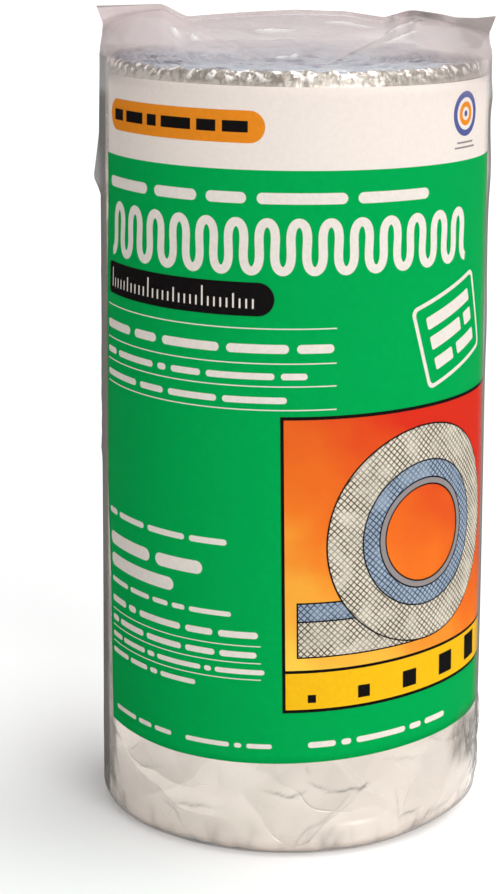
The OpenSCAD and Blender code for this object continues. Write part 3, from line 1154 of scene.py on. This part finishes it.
def roof_glints(x, way):
    """Where the sharp folds catch the light, from 0 to 1."""
    glints = np.zeros(x.shape)
    for place, fold_in, length, width, slope, _ in ROOF_FOLDS:
        shape = crease(x - place, way * FILM_R - fold_in, length, GLINT_WIDTH * width, slope)
        glints += GLINT * shape
    return np.clip(glints, 0, 1)


def roof_veil(share, way, fold):
    """Haze of the film over the head: thin at the shoulder, thick near the seam and its ears."""
    spread = np.abs(share)
    thickest = 0.10 + 0.60 * (1 - share ** 2) ** 0.7
    veil = 0.22 + 0.68 * smoothstep(0.0, 1.0, way / thickest) + 0.05 * np.abs(fold)
    veil = veil + 0.5 * spread ** 10 + 0.25 * smoothstep(0.6, 0.9, share)
    return veil + smoothstep(0.5, 0.85, spread) * smoothstep(0.05, 0.3, way)


def roof_sheet(angle, way):
    """Points of the roof without its folds: curves from shoulder to seam, steep at the ears."""
    start = around(angle, FILM_R + roll_form(angle, SHOULDER_Z), SIDE_LEVELS[-1])
    end = seam_lines(angle)[0]
    drawn = start + 0.3 * (end - start)
    drawn[..., 2] += 0.8
    at_ear = smoothstep(0.45, 0.9, np.abs(np.sin(angle)))
    steep = end + (0.3 - 0.22 * at_ear[..., None]) * (start - end)
    steep[..., 2] -= 2.2 + 3.0 * at_ear
    far = way[..., None]
    near = 1 - far
    return near ** 3 * start + 3 * far * near ** 2 * drawn + 3 * far ** 2 * near * steep + far ** 3 * end


def film_roof(angle):
    """The roof, drawn from the shoulder to the seam."""
    share = np.sin(angle)
    front = half(angle) > 0
    way = (np.linspace(0, 1, ROOF_ROWS + 1)[1:] ** 1.2)[:, None]
    points = roof_sheet(angle, way)
    x = points[..., 0]
    fold = np.where(front, roof_relief(x, way, True), roof_relief(x, way, False))
    points[..., 2] += fold * np.clip(1.25 - np.abs(share) ** 6, 0, 1)
    # Painted shade where the film lies double by the seam and on the right ear
    grey = np.maximum(doubled(share) * smoothstep(0.8, 1, way), ear_shade(share))
    glint = np.where(front, roof_glints(x, way), 0.0)
    return points, roof_veil(share, way, fold), grey, glint


def film_seam(angle):
    """The seam: two films welded flat, with an ear at each end and a grey upper edge."""
    share = np.sin(angle)
    ridge, crest = seam_lines(angle)
    climb = np.linspace(0, 1, SEAM_ROWS + 1)[1:, None]
    points = ridge * (1 - climb[..., None]) + crest * climb[..., None]
    points[..., 1] += 0.35 * np.sin(5 * share + 2 * climb) * climb
    points[-1, :, 1] += SEAM_LAYER * half(angle)[0]
    # Painted shade where the film lies double and on the right ear
    grey = np.maximum(doubled(share), ear_shade(share))
    return points, 1.5, np.maximum(grey, 0.5 * (climb == 1)), 0.0


def make_film(material):
    """The bag, from the middle of its base up to the upper edge of its seam."""
    angle = -UPRIGHT + TURN * np.arange(FILM_COLUMNS)[None, :] / FILM_COLUMNS
    parts = [make(angle) for make in (film_base, film_curve, film_side, film_roof, film_seam)]
    points = np.concatenate([part[0] for part in parts])
    fields = {}
    for number, name in enumerate(("haze", "grey_shade", "glint"), start=1):
        fields[name] = np.concatenate([np.broadcast_to(part[number], part[0].shape[:2]) for part in parts])
    piece = mesh_object("film", points, grid_faces(*points.shape[:2], True), [material], fields=fields)
    weld(piece, metres=1e-5)
    return piece


# Stage

IMAGE_H = 894
SENSOR_MM = 36.0
CLIP_START = 50.0
# Studio light on the object, where 1 is white; and the floor, which glows a little
STUDIO_LEVEL = 0.27
FLOOR_TONE = (0.86, 0.86, 0.86)
FLOOR_GLOW = 0.12
FLOOR_HALF = 9000.0
FLOOR_Z = -0.05


def make_floor():
    tree = Tree("floor")
    strength = tree.times(tree.background_rays(), FLOOR_GLOW)
    glow = tree.node("ShaderNodeEmission", {"Color": (1, 1, 1, 1), "Strength": strength}).outputs[0]
    diffuse = tree.surface("Diffuse", FLOOR_TONE)
    material = tree.finish(tree.node("ShaderNodeAddShader", {0: diffuse, 1: glow}).outputs[0])
    ways = ((-1, -1), (1, -1), (1, 1), (-1, 1))
    points = [(x * FLOOR_HALF, y * FLOOR_HALF, FLOOR_Z) for x, y in ways]
    mesh_object("floor", points, [(0, 1, 2, 3)], [material])


def make_lamp(name, turn, rise, spread, power):
    """A broad distant softbox: its angle from the front, its height and its width, in degrees."""
    lamp = bpy.data.lights.new(name, "SUN")
    lamp.angle = math.radians(spread)
    lamp.energy = power
    holder = bpy.data.objects.new(name, lamp)
    bpy.context.scene.collection.objects.link(holder)
    towards = Vector(around(math.radians(turn), math.cos(math.radians(rise)), math.sin(math.radians(rise))))
    holder.matrix_world = towards.to_track_quat("Z", "Y").to_matrix().to_4x4()


def make_camera(at, pitch, yaw, roll, focal):
    """The camera as fitted to the photograph, with angles in degrees and its focal length in pixels."""
    camera = bpy.data.objects.new("camera", bpy.data.cameras.new("camera"))
    camera.data.sensor_width = SENSOR_MM
    camera.data.lens = focal * SENSOR_MM / IMAGE_H
    camera.data.clip_start = CLIP_START * MM
    camera.matrix_world = (
        Matrix.Translation(Vector(at) * MM)
        @ Matrix.Rotation(math.radians(yaw), 4, "Z")
        @ Matrix.Rotation(math.radians(90 - pitch), 4, "X")
        @ Matrix.Rotation(math.radians(roll), 4, "Z"))
    bpy.context.scene.collection.objects.link(camera)
    bpy.context.scene.camera = camera


def make_stage():
    bpy.context.scene.view_settings.view_transform = "Standard"
    sky = Tree("studio", bpy.data.worlds)
    level = sky.ramp(sky.background_rays(), (0.0, 1.0), to=(STUDIO_LEVEL, 1.0))
    light = sky.node("ShaderNodeBackground", {"Color": (1, 1, 1, 1), "Strength": level})
    bpy.context.scene.world = sky.finish(light.outputs[0], "ShaderNodeOutputWorld")
    make_floor()
    make_lamp("key", turn=28, rise=22, spread=35, power=1.7)
    make_lamp("top", turn=102, rise=73, spread=42, power=2.3)
    make_camera(at=(0.0, -1007.6, 390.4), pitch=13.603, yaw=0.956, roll=0.413, focal=2551.7)


make_stage()
paper_edge = ink_material("paper_edge", (0.82, 0.80, 0.76), shine=0.7)
cotton_piece = make_cotton(cotton_material(), foil_edge_material())
foil_piece = make_foil(foil_material())
label_piece = make_label(label_material(), paper_edge)
print_piece = make_print()
film_piece = make_film(film_material())

for piece, node, slot in (
    (cotton_piece, "cotton_roll", "cotton"),
    (foil_piece, "foil_facing", "foil"),
    (label_piece, "label_sheet", "label"),
    (print_piece, None, "label"),
    (film_piece, "film_bag", "film"),
):
    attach(piece, "root")
    if node:
        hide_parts(node)
